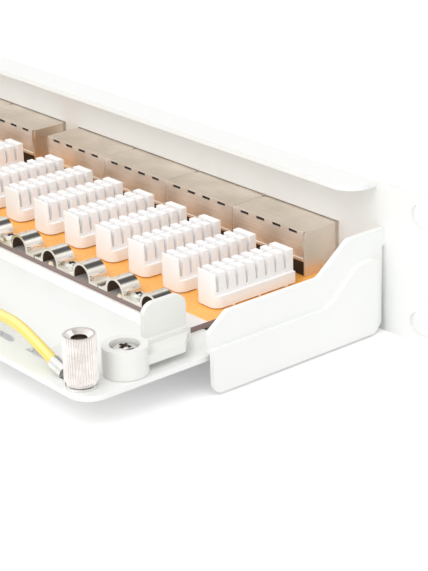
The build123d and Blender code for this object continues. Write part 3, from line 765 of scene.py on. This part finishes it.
def turn_screw(head_mm, height_mm, shank_mm, depth_mm):
    """A pan head with its shank, its seat at the origin."""
    bpy.ops.mesh.primitive_cylinder_add(vertices=32, radius=head_mm / 2 * MM, depth=height_mm * MM,
                                        location=(0, 0, height_mm / 2 * MM))
    screw = open_piece("screw")
    pick_faces(screw, lambda c, n: n.z > 0.9)
    bpy.ops.transform.translate(value=(0, 0, (HEAD_SIDE_SHARE - 1) * height_mm * MM))
    for thickness, rise in CROWN_STEPS:
        bpy.ops.mesh.inset(thickness=thickness * head_mm * MM, depth=0)
        bpy.ops.transform.translate(value=(0, 0, rise * height_mm * MM))
    pick_faces(screw, lambda c, n: n.z < -0.9)
    bpy.ops.mesh.inset(thickness=(head_mm - shank_mm) / 2 * MM, depth=0)
    push_picked(0, 0, -depth_mm)
    bpy.ops.object.mode_set(mode="OBJECT")
    return screw


# %% [markdown]
# The cross is pressed into the head. Here a Boolean modifier cuts it with two tapered bars, because
# a cross of clean faces is hard to extrude into a round top. Its walls get painted shade.

# %% Pan-head screw: cross recess
CROSS_TURNS = (20, 110)
CROSS_REACH_SHARE = 0.36
CROSS_BAR_SHARE = 0.1
CROSS_FOOT_SHARE = 0.35
CROSS_TAPER = (0.35, 0.7, 1.0)
SHADE_WITHIN_SHARE = 0.37


def press_cross(screw, head_mm, height_mm):
    """Cuts the cross into the head, and paints shade on its walls with the dark finish."""
    reach = CROSS_REACH_SHARE * head_mm
    half = CROSS_BAR_SHARE * head_mm
    for turn in CROSS_TURNS:
        bar = start_box("bar", (-reach, -half, height_mm * CROSS_FOOT_SHARE),
                        (reach, half, height_mm * 1.5))
        pick_faces(bar, lambda c, n: n.z < -0.9)
        bpy.ops.transform.resize(value=CROSS_TAPER)
        bpy.ops.object.mode_set(mode="OBJECT")
        bar.data.transform(Matrix.Rotation(math.radians(turn), 4, "Z"))
        select_only(screw)
        press = screw.modifiers.new("press", "BOOLEAN")
        press.operation = "DIFFERENCE"
        press.object = bar
        bpy.ops.object.modifier_apply(modifier="press")
        bpy.data.objects.remove(bar)
    shade_round(35)
    screw.data.materials.append(SLOT_FINISH["plated_screw"])
    screw.data.materials.append(RECESS_SHADE_PAINT)
    # The faces inside the cross get the second material: painted shade.
    for face in screw.data.polygons:
        spot = face.center / MM
        off_axis = math.hypot(spot.x, spot.y)
        inside = off_axis < SHADE_WITHIN_SHARE * head_mm and spot.z > 0.3 * height_mm
        if inside and (abs(face.normal.z) < 0.5 or spot.z < 0.55 * height_mm):
            face.material_index = 1


# %% [markdown]
# Twelve screws hold the clamps, one between the two arches of each, and two larger ones carry the
# latches. The CAD says where each stands, and these copies stand for its plain screws.

# %% Clamp screws and latch screws
GROUP_PITCH_MM = 134.9
SHIELD_PITCH_MM = 31.8
CLAMP_SHIFT_MM = 3.15
CLAMP_SCREWS_MM = [(group * GROUP_PITCH_MM + can * SHIELD_PITCH_MM + CLAMP_SHIFT_MM, 58.3, -7.0)
                   for group in (-1, 0, 1) for can in (-1.5, -0.5, 0.5, 1.5)]
LATCH_SCREWS_MM = [(-209.0, 85.5, -5.9), (209.0, 85.5, -5.9)]


def place_screws(node, spots_mm, head_mm, height_mm, shank_mm, depth_mm):
    """A row of copies of one screw, which stand for the CAD node."""
    screw = turn_screw(head_mm, height_mm, shank_mm, depth_mm)
    press_cross(screw, head_mm, height_mm)
    places = [(f"{node}_{number:02d}", spot, node) for number, spot in enumerate(spots_mm, 1)]
    place_copies(screw, places)


place_screws("clamp_screws", CLAMP_SCREWS_MM, 4.8, 1.7, 2.5, 6.0)
place_screws("latch_screws", LATCH_SCREWS_MM, 7.4, 2.6, 3.0, 7.0)

# %% [markdown]
# Some CAD shapes are right and only too sharp. A copy of such a node is merged, because its mesh is
# loose triangles, its flat faces are made whole, and faces with a dent or a window are split into
# simple ones, so that the bevel that follows stays clean.

# %% Helpers for rounding CAD shapes


def whole_copy(node, name):
    """A copy of a CAD node, made whole from its loose triangles, in edit mode."""
    piece = new_object(name, frame["nodes"][node].data.copy())
    select_only(piece)
    bpy.ops.object.mode_set(mode="EDIT")
    bpy.ops.mesh.select_all(action="SELECT")
    bpy.ops.mesh.remove_doubles(threshold=0.001 * MM)
    bpy.ops.mesh.dissolve_limited(angle_limit=math.radians(1))
    bpy.ops.mesh.select_all(action="SELECT")
    bpy.ops.mesh.vert_connect_concave()
    return piece


def place_groups(first, name, kind):
    """The first group's piece and its two copies, each where the CAD has it."""
    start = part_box(f"{kind}_1")[0]
    steps_mm = [((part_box(f"{kind}_{number}")[0][0] - start[0]) / MM, 0, 0) for number in (1, 2, 3)]
    place_copies(first, [(f"{name}_{number}", step, f"{kind}_{number}")
                               for number, step in enumerate(steps_mm, 1)])


# %% [markdown]
# The clamps are bent from bright spring strip. Inside the arches the shade is painted in: the faces
# that look towards an arch's axis get the dark recess finish.

# %% Clamps
SHEET_EDGE_MM = 0.12
ARCH_HEIGHT_MM = -6.9
ARCH_INSIDE_MM = 3.6
ARCH_PITCH_MM = 15.9


def polish_clamps():
    """The three strips of clamps, with painted shade inside their arches."""
    strip = whole_copy("clamp_strip_1", "strip")
    soften(strip, SHEET_EDGE_MM, 2)
    # The faces inside the arches get painted shade.
    strip.data.materials.append(RECESS_SHADE_PAINT)
    axes = [middle_x("clamp_strip_1") + (number - 3.5) * ARCH_PITCH_MM for number in range(8)]
    for face in strip.data.polygons:
        spot = face.center / MM
        x = min((spot.x - axis for axis in axes), key=abs)
        z = max(spot.z - ARCH_HEIGHT_MM, 0)
        if abs(face.normal.y) < 0.3 and math.hypot(x, z) < ARCH_INSIDE_MM:
            face.material_index = 1
    place_groups(strip, "clamps", "clamp_strip")


polish_clamps()

# %% [markdown]
# The shields are folded boxes of thin sheet. Each end of a row has a rim, where the sheet is folded
# over, so its end walls are inset by a narrow step before the edges are rounded.

# %% Shields
SHIELD_END_IN_MM = 0.3
SHIELD_RIM_MM = 1.0
SHIELD_RIM_STEP_MM = 0.12


def round_shields():
    """The three rows of shields: a folded rim round each end, and softened folds."""
    low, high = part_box("jack_shields_1")
    ends_mm = (low[0] / MM, high[0] / MM)
    row = whole_copy("jack_shields_1", "row")
    pick_faces(row, lambda c, n: abs(n.x) > 0.99 and abs(
        min(abs(c.x - end) for end in ends_mm) - SHIELD_END_IN_MM) < 0.1)
    bpy.ops.mesh.inset(thickness=SHIELD_RIM_MM * MM, depth=-SHIELD_RIM_STEP_MM * MM)
    soften(row, SHEET_EDGE_MM, 2)
    place_groups(row, "shields", "jack_shields")


round_shields()

# %% [markdown]
# Below, the rear wall of each shield is hemmed: its edge is folded back on itself, which leaves a
# bright rounded strip. It is a thin box along the wall's foot with its long edges rounded.

# %% Hems of the shields
HEM_L_MM = 30.0
HEM_H_MM = 1.1
HEM_FOOT_MM = -3.3
HEM_Y_MM = 12.75
HEM_T_MM = 0.5
HEM_ROUND_MM = 0.3


def model_hems():
    """A hem on each of the twelve shields."""
    hem = start_box("hem", (-HEM_L_MM / 2, HEM_Y_MM, HEM_FOOT_MM),
                    (HEM_L_MM / 2, HEM_Y_MM + HEM_T_MM, HEM_FOOT_MM + HEM_H_MM))
    pick_edges(hem, lambda a, b: abs(a.x - b.x) > 1 and min(a.y, b.y) > HEM_Y_MM + 0.4)
    bpy.ops.mesh.bevel(offset=HEM_ROUND_MM * MM, segments=4)
    shade_round(40)
    hem.data.materials.append(SLOT_FINISH["nickel_shield"])
    place_copies(hem, [
        (f"shield_hem_{number:02d}", (middle_x(f"jack_insert_{number:02d}"), 0, 0), None)
        for number in range(1, 13)])


model_hems()

# %% [markdown]
# Two neighbouring shields don't leave an open gap: a narrow fold of the same sheet closes the joint
# between them, just below their faces, and its rounded edge shows as a bright line. The fold starts
# as an upright plate, and its rear and upper edges are rounded.

# %% Joints between the shields
JOINT_HALF_MM = 0.36
JOINT_LOW_MM = (0.5, -2.2)
JOINT_HIGH_MM = (12.8, 5.62)
JOINT_ROUND_MM = 0.2


def model_joints():
    """The nine closed joints, three in each row of four shields."""
    fold = start_box("fold", (-JOINT_HALF_MM, *JOINT_LOW_MM), (JOINT_HALF_MM, *JOINT_HIGH_MM))
    pick_edges(fold, lambda a, b: abs(a.x - b.x) < 0.1 and (
        min(a.y, b.y) > JOINT_HIGH_MM[0] - 0.1 or min(a.z, b.z) > JOINT_HIGH_MM[1] - 0.1))
    bpy.ops.mesh.bevel(offset=JOINT_ROUND_MM * MM, segments=3)
    shade_round(40)
    fold.data.materials.append(SLOT_FINISH["spring_clamp"])
    places = []
    for number in (1, 2, 3):
        middle = middle_x(f"jack_shields_{number}")
        for side, letter in ((-1, "a"), (0, "b"), (1, "c")):
            step_mm = (middle + side * SHIELD_PITCH_MM, 0, 0)
            places.append((f"shield_joint_{number}{letter}", step_mm, None))
    place_copies(fold, places)


model_joints()

# %% [markdown]
# The latches are thick mouldings with rounded edges, made from the CAD shapes in the same way. Each
# rides on its own body, because it turns on its screw.

# %% Latches with rounded edges
LATCH_EDGE_MM = 0.45
for node in ("latch_left", "latch_right"):
    latch = whole_copy(node, f"{node}_rounded")
    soften(latch, LATCH_EDGE_MM, 3)
    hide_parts(node)
    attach(latch, node)
    print(node, "faces", len(latch.data.polygons))

# %% [markdown]
# The earth nut is turned from a bar and knurled straight. Its plan is a circle of points in groups
# of four, two out and two in, so each group makes one flat-topped ridge and one groove. The plan is
# pulled up to the nut's height, the top is drawn in to a rim and down into a cone, and the foot is
# drawn in to a neck.

# %% Earth nut
NUT_MIDDLE_MM = (-208.0, 98.8)
NUT_FOOT_MM = -10.0
NUT_H_MM = 13.7
NUT_R_MM = 4.53
NUT_RIDGES = 36
GROOVE_SHARE = 0.93
KNURL_FOOT_MM = 1.3
CHAMFER_MM = 0.4
CHAMFER_SHARE = 0.97
DISH_STEPS = ((0.89, 0.0), (0.97, -0.3), (0.60, -0.8), (0.98, -0.7))
NECK_SHARE = 0.84
NECK_FOOT_SHARE = 1.05
BORE_R_MM = 2.4


def scale_picked(share):
    """Draws the selected faces in or out about the nut's axis."""
    bpy.ops.transform.resize(value=(share, share, 1.0), center_override=(0, 0, 0))


def model_nut():
    """The knurled nut, modelled about the origin and then put in its place."""
    bpy.ops.mesh.primitive_circle_add(vertices=4 * NUT_RIDGES, radius=NUT_R_MM * MM,
                                      fill_type="NGON", location=(0, 0, KNURL_FOOT_MM * MM))
    nut = open_piece("earth_nut_knurled")
    bpy.ops.mesh.select_mode(type="VERT")
    bpy.ops.mesh.select_all(action="DESELECT")
    mesh = bmesh.from_edit_mesh(nut.data)
    for number, vertex in enumerate(sorted(mesh.verts, key=lambda v: math.atan2(v.co.y, v.co.x))):
        vertex.select_set(number % 4 > 1)
    bmesh.update_edit_mesh(nut.data)
    scale_picked(GROOVE_SHARE)
    bpy.ops.mesh.select_mode(type="FACE")
    bpy.ops.mesh.select_all(action="SELECT")
    push_picked(0, 0, NUT_H_MM - KNURL_FOOT_MM - CHAMFER_MM)
    push_picked(0, 0, CHAMFER_MM)
    scale_picked(CHAMFER_SHARE)
    for share, rise in DISH_STEPS:
        push_picked(0, 0, rise)
        scale_picked(share)
    pick_faces(nut, lambda c, n: c.z < KNURL_FOOT_MM + 0.01)
    bpy.ops.mesh.delete(type="ONLY_FACE")
    pick_edges(nut, lambda a, b: max(a.z, b.z) < KNURL_FOOT_MM + 0.01)
    for share, rise in ((NECK_SHARE, 0.0), (1.0, -0.9), (NECK_FOOT_SHARE, -0.4)):
        bpy.ops.mesh.extrude_edges_move(TRANSFORM_OT_translate={"value": (0, 0, rise * MM)})
        scale_picked(share)
    bpy.ops.mesh.edge_face_add()
    bpy.ops.mesh.select_all(action="SELECT")
    bpy.ops.mesh.normals_make_consistent(inside=False)
    shade_round(20)
    nut.data.transform(Matrix.Translation(Vector((*NUT_MIDDLE_MM, NUT_FOOT_MM)) * MM))
    nut.data.materials.append(SLOT_FINISH["knurled_nut"])
    nut.data.materials.append(RECESS_SHADE_PAINT)
    # The walls of the bore get painted shade, the dark recess finish.
    for face in nut.data.polygons:
        spot = face.center / MM - Vector((*NUT_MIDDLE_MM, NUT_FOOT_MM))
        if math.hypot(spot.x, spot.y) < BORE_R_MM and 1 < spot.z < NUT_H_MM - 1.2:
            face.material_index = 1
    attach(nut, "earth_nut")
    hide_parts("earth_nut")
    print("earth nut faces", len(nut.data.polygons))


model_nut()

# %% [markdown]
# Each socket has eight sprung contact wires, gold on bronze, that slope down towards the back. One
# is a thin box, cut near its front end, and the front part bent down to the mouth. The eight are
# joined, and the set is copied to all the sockets.

# %% Socket contacts
CONTACT_PITCH_MM = 1.02
CONTACT_LOW_MM = (-0.2, 1.0, 2.3)
CONTACT_HIGH_MM = (0.2, 9.6, 2.7)
CONTACT_CUTS_MM = (2.2, 7.6)
MOUTH_RISE_MM = 0.5
REAR_DROP_MM = 3.2
SOCKET_SHIFT_MM = 7.95


def gold_plate():
    """Thin hard gold over bronze: warm yellow and glossy."""
    material, tree, shader, place = new_finish(
        "gold_plated_bronze", {"Metallic": 1.0, "Roughness": 0.2})
    cloud = noise(tree, place, 2.0)
    colour = blend_colours(tree, cloud, hex_colour("D9A441"), hex_colour("F2C868"))
    tree.links.new(colour, shader.inputs["Base Color"])
    return material


def model_contacts():
    """The eight contacts of one socket, the socket's middle at X = 0."""
    wire = start_box("socket_contacts", CONTACT_LOW_MM, CONTACT_HIGH_MM)
    for place in CONTACT_CUTS_MM:
        pick_faces(wire, lambda c, n: abs(n.y) < 0.5)
        cut_picked(1, place)
    pick_faces(wire, lambda c, n: c.y < 2.3)
    bpy.ops.transform.translate(value=(0, 0, MOUTH_RISE_MM * MM))
    pick_faces(wire, lambda c, n: n.y > 0.9)
    bpy.ops.transform.translate(value=(0, 0, -REAR_DROP_MM * MM))
    bpy.ops.object.mode_set(mode="OBJECT")
    join_to(wire, [copy_to(wire, "wire", (number * CONTACT_PITCH_MM, 0, 0))
                   for number in range(1, 8)])
    wire.data.transform(Matrix.Translation((-3.5 * CONTACT_PITCH_MM * MM, 0, 0)))
    wire.data.materials.append(gold_plate())
    return wire


place_copies(model_contacts(), [
    (f"socket_contacts_{number:02d}{letter}", (middle_x(f"jack_insert_{number:02d}") + shift, 0, 0),
     None) for number in range(1, 13)
    for shift, letter in ((-SOCKET_SHIFT_MM, "a"), (SOCKET_SHIFT_MM, "b"))])

# %% [markdown]
# A small drop of cream sealant sits beside the mouth of two of the clamps' arches, a warm spot on
# the bright tin. A ball is cut at the board's height, its lower half dropped, the rest flattened.

# %% Sealant drops
BOARD_TOP_MM = -7.8
DROPS_MM = [(-173.4, 60.2), (-139.4, 60.0)]
DROP_R_MM = 0.95
DROP_STRETCH = (1.25, 0.7, 1.0)
SEALANT = moulded("cream_sealant", "EAD9BE", 0.35, 0.1)


def place_drops():
    """The sealant drops on the rear edge of the first board."""
    for number, (x, y) in enumerate(DROPS_MM, 1):
        bpy.ops.mesh.primitive_uv_sphere_add(segments=20, ring_count=12, radius=DROP_R_MM * MM,
                                             location=Vector((x, y, BOARD_TOP_MM)) * MM)
        drop = open_piece(f"sealant_drop_{number}")
        bpy.ops.mesh.select_all(action="SELECT")
        bpy.ops.mesh.bisect(plane_co=(0, 0, (BOARD_TOP_MM - 0.05) * MM), plane_no=(0, 0, 1),
                            clear_inner=True, use_fill=True)
        bpy.ops.mesh.select_all(action="SELECT")
        bpy.ops.transform.resize(value=DROP_STRETCH)
        shade_round(60)
        drop.data.materials.append(SEALANT)
        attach(drop, "panel")
        print(drop.name, "faces", len(drop.data.polygons))


place_drops()

# %% [markdown]
# The hank is tied with a flat, dull black band. It is the outside of the bundle: a box round the
# laps, its four long edges rounded, its two open ends deleted, and a wall given to the rest.

# %% Tie band round the hank
BAND_X_MM = -73.0
BAND_SIZE_MM = Vector((4.0, 21.9, 9.8))
BAND_LIFT_MM = 0.02
BAND_T_MM = 0.9
BAND_CORNER_MM = 1.7
BAND_EDGE_MM = 0.15


def tie_hank():
    """A soft black band round the three layers of laps."""
    low = Vector((BAND_X_MM - BAND_SIZE_MM.x / 2, HANK_MIDDLE_MM.y - BAND_SIZE_MM.y / 2,
                  TRAY_TOP_MM + BAND_LIFT_MM))
    band = start_box("hank_band", low, low + BAND_SIZE_MM)
    pick_faces(band, lambda c, n: abs(n.x) > 0.9)
    bpy.ops.mesh.delete(type="ONLY_FACE")
    pick_edges(band, lambda a, b: abs(a.x - b.x) > 1)
    bpy.ops.mesh.bevel(offset=BAND_CORNER_MM * MM, segments=4)
    bpy.ops.object.mode_set(mode="OBJECT")
    wall = band.modifiers.new("wall", "SOLIDIFY")
    wall.thickness = BAND_T_MM * MM
    wall.offset = 0.0
    bpy.ops.object.modifier_apply(modifier="wall")
    soften(band, BAND_EDGE_MM, 2)
    band.data.materials.append(moulded("black_woven_band", "242426", 0.7))
    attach(band, "panel")
    print(band.name, "faces", len(band.data.polygons))


tie_hank()

# %% [markdown]
# The floor is a plain white sheet. The part of its white that the camera sees doesn't come from
# more light: a weak glow, only for camera, mirror and glass rays, fills it up, and the light that
# really falls on it still draws the shadow of the tray.

# %% Floor
FLOOR_Z_MM = -22.05
FLOOR_GLOW = 0.27


def lay_floor():
    """A large white floor that keeps the object's shadow."""
    bpy.ops.mesh.primitive_plane_add(size=12.0, location=(0, 0, FLOOR_Z_MM * MM))
    floor = bpy.context.object
    floor.name = "floor"
    material, tree, shader, place = new_finish(
        "white_paper_floor", {"Base Color": hex_colour("F2F2F2"), "Roughness": 0.9,
                              "Emission Color": (1, 1, 1, 1)})
    rays = add(tree, "ShaderNodeLightPath").outputs
    seen = calc(tree, "ADD", rays["Is Camera Ray"], rays["Is Glossy Ray"])
    seen = add(tree, "ShaderNodeMath", {0: seen, 1: rays["Is Transmission Ray"]},
               operation="ADD", use_clamp=True)
    glow = calc(tree, "MULTIPLY", seen.outputs[0], FLOOR_GLOW)
    tree.links.new(glow, shader.inputs["Emission Strength"])
    floor.data.materials.append(material)
    print("floor at mm", FLOOR_Z_MM)


lay_floor()

# %% [markdown]
# The light is a plain studio: a bright ceiling, bright walls behind the camera, and greyer walls
# on the far side, which the flat metal shows. One dark gap in the far ceiling, between two panels
# of light, is too small to dim the object, but polished curves show it as a dark band. A large
# softbox over the camera's left shoulder gives the soft shadows.

# %% Light
CEILING_LIGHT = 1.2
NEAR_WALL_LIGHT = 1.08
FAR_WALL_LIGHT = 0.75
GAP_LIGHT = 0.13
NEAR_SIDE = (-0.25, 0.95, 0.19)
WALL_TURN = (-0.7, 0.9)
CEILING_EDGE = (0.45, 0.75)
GAP_SIDE = (0.05, -0.585, 0.81)
GAP_EDGE = (0.87, 0.97)
SOFTBOX_WATTS = 6.0
SOFTBOX_PLACE = Vector((-0.5, 0.9, 1.2))
SOFTBOX_AIM = Vector((-0.15, 0.04, 0))


def light_studio():
    """World light with a darker far wall and a dark gap, and one softbox."""
    world = bpy.data.worlds.new("studio")
    bpy.context.scene.world = world
    world.use_nodes = True
    tree = world.node_tree
    direction = add(tree, "ShaderNodeTexCoord").outputs["Generated"]
    facing = add(tree, "ShaderNodeVectorMath", {0: direction, 1: NEAR_SIDE},
                 operation="DOT_PRODUCT").outputs["Value"]
    walls = remap(tree, facing, FAR_WALL_LIGHT, NEAR_WALL_LIGHT, *WALL_TURN)
    height = add(tree, "ShaderNodeSeparateXYZ", {"Vector": direction}).outputs["Z"]
    up = remap(tree, height, 0.0, 1.0, *CEILING_EDGE)
    room = add(tree, "ShaderNodeMix", {"Factor": up, "A": walls, "B": CEILING_LIGHT},
               data_type="FLOAT").outputs["Result"]
    toward_gap = add(tree, "ShaderNodeVectorMath", {0: direction, 1: GAP_SIDE},
                     operation="DOT_PRODUCT").outputs["Value"]
    gap = remap(tree, toward_gap, 0.0, 1.0, *GAP_EDGE)
    level = add(tree, "ShaderNodeMix", {"Factor": gap, "A": room, "B": GAP_LIGHT},
                data_type="FLOAT").outputs["Result"]
    tree.links.new(level, tree.nodes["Background"].inputs["Strength"])
    tree.nodes["Background"].inputs["Color"].default_value = (1, 1, 1, 1)
    data = bpy.data.lights.new("softbox", "AREA")
    data.shape = "RECTANGLE"
    data.size = 1.2
    data.size_y = 0.9
    data.energy = SOFTBOX_WATTS
    softbox = new_object("softbox", data)
    softbox.location = SOFTBOX_PLACE
    softbox.rotation_mode = "QUATERNION"
    softbox.rotation_quaternion = (SOFTBOX_AIM - SOFTBOX_PLACE).to_track_quat("-Z", "Y")
    print("softbox watts", SOFTBOX_WATTS)


light_studio()
bpy.context.scene.view_settings.view_transform = "Standard"
